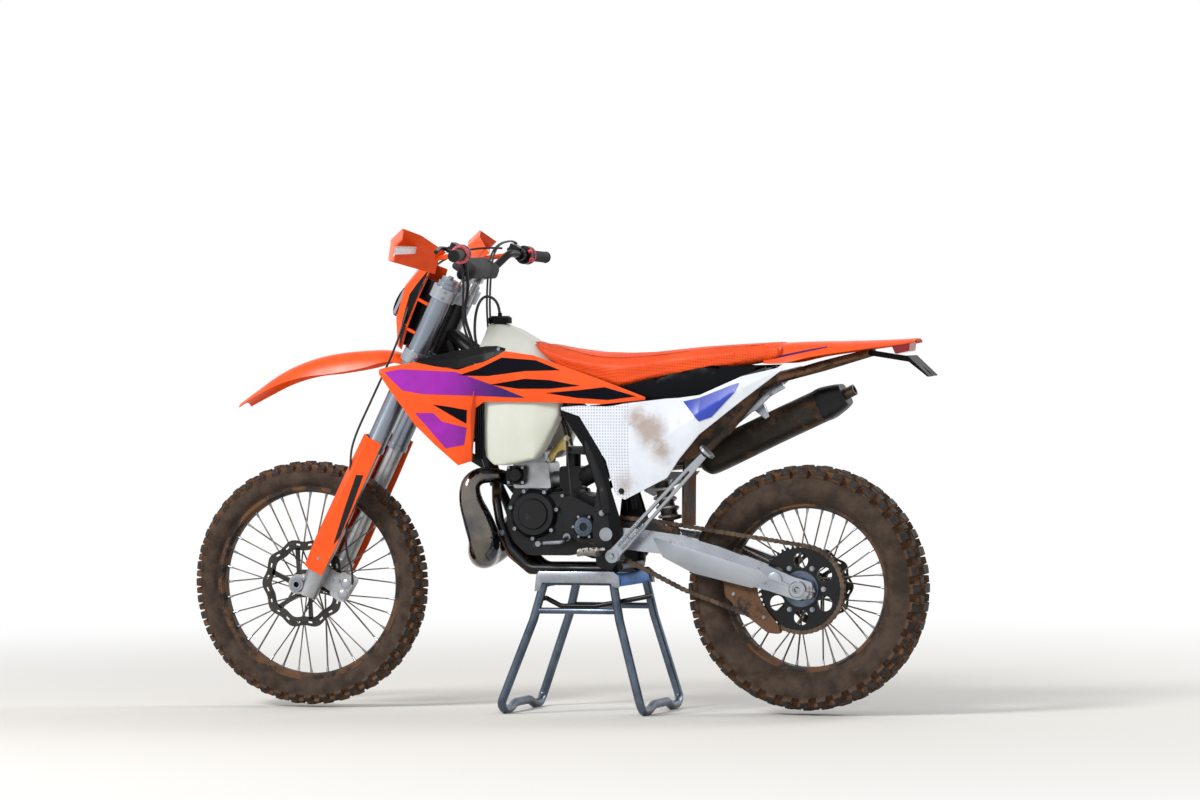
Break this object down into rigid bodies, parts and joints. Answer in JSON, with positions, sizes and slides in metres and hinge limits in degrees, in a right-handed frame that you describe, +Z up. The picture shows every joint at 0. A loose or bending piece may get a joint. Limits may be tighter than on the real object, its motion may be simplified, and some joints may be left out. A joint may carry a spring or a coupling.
{
  "type": "enduro motorcycle on a paddock stand",
  "caption": "Off-road motorcycle with long-travel fork, knobbly tyres, moulded bodywork and a folded side stand, held upright by a tubular paddock stand under its frame.",
  "frame": {"origin": "on the floor under the middle of the overall length, midway between the handlebar ends", "axes": "+X forward, +Y to the left of the motorcycle, +Z up"},
  "size_m": [2.2019, 0.8086, 1.3712],
  "materials": {
    "orange_plastic": "moulded, dusty",
    "black_plastic": "moulded",
    "white_plastic": "moulded, muddy",
    "clear_plastic": "milky, translucent",
    "seat_cover": "gripped vinyl",
    "tyre_rubber": "knobbly, muddy",
    "grip_rubber": "soft",
    "blue_rubber": "sleeve",
    "black_steel": "powder coated",
    "black_alloy": "anodised",
    "alloy": "cast or machined",
    "bright_steel": "bare",
    "chrome_steel": "polished",
    "foam": "foam",
    "clear_lens": "clear",
    "red_lens": "clear red"
  },
  "bodies": {
    "chassis": {"airbox": "black_plastic", "carburettor": "alloy", "chain": "bright_steel", "chain_guide": "black_plastic", "crankcase": "black_alloy", "cylinder": "alloy", "drive_sprocket": "bright_steel", "engine_covers": "black_alloy", "exhaust_chamber": "chrome_steel", "foot_controls": "alloy", "foot_pegs": "bright_steel", "frame": "black_steel", "frame_guards": "black_plastic", "fuel_tank": "clear_plastic", "hoses": "grip_rubber", "inner_fender": "black_plastic", "paddock_frame": "bright_steel", "paddock_lever": "black_steel", "paddock_rollers": "blue_rubber", "pivot_bolt": "bright_steel", "plate_holder": "black_plastic", "radiators": "alloy", "rear_axle": "bright_steel", "rear_caliper": "alloy", "rear_mudguard": "orange_plastic", "seat": "seat_cover", "shock_absorber": "bright_steel", "shroud_wings": "black_plastic", "shrouds": "orange_plastic", "side_panels": "white_plastic", "silencer": "black_alloy", "skid_plate": "black_plastic", "subframe": "black_plastic", "swingarm": "alloy", "tail_light": "red_lens", "tank_cap": "black_plastic"},
    "steering": {"triple_clamps": "alloy", "handlebar": "black_alloy", "grips": "grip_rubber", "hand_controls": "black_alloy", "hand_guards": "orange_plastic", "bar_pad": "foam", "fork_tubes": "alloy", "fork_legs": "alloy", "front_axle": "bright_steel", "fork_guards": "orange_plastic", "front_brake": "alloy", "front_mudguard": "orange_plastic", "headlight_mask": "orange_plastic", "headlight": "clear_lens"},
    "front_wheel": {"front_tyre": "tyre_rubber", "front_rim": "black_alloy", "front_hub": "alloy", "front_disc": "bright_steel"},
    "rear_wheel": {"rear_tyre": "tyre_rubber", "rear_rim": "black_alloy", "rear_hub": "alloy", "rear_disc": "bright_steel", "rear_sprocket": "black_alloy"},
    "side_stand": {"side_stand": "alloy"}
  },
  "joints": [
    {"name": "steering_turn", "type": "hinge", "parent": "chassis", "child": "steering", "pos_m": [0.37553, 0, 0.998], "axis": [-0.4399, 0, 0.898], "range_deg": [-42, 42]},
    {"name": "front_wheel_spin", "type": "hinge", "parent": "steering", "child": "front_wheel", "pos_m": [0.75047, 0, 0.35766], "axis": [0, 1, 0], "continuous": true},
    {"name": "rear_wheel_spin", "type": "hinge", "parent": "chassis", "child": "rear_wheel", "pos_m": [-0.73853, 0, 0.357], "axis": [0, 1, 0], "continuous": true},
    {"name": "side_stand_fold", "type": "hinge", "parent": "chassis", "child": "side_stand", "pos_m": [-0.21747, 0.176, 0.449], "axis": [-0.1197, -0.9863, -0.1136], "range_deg": [0, 138]}
  ]
}
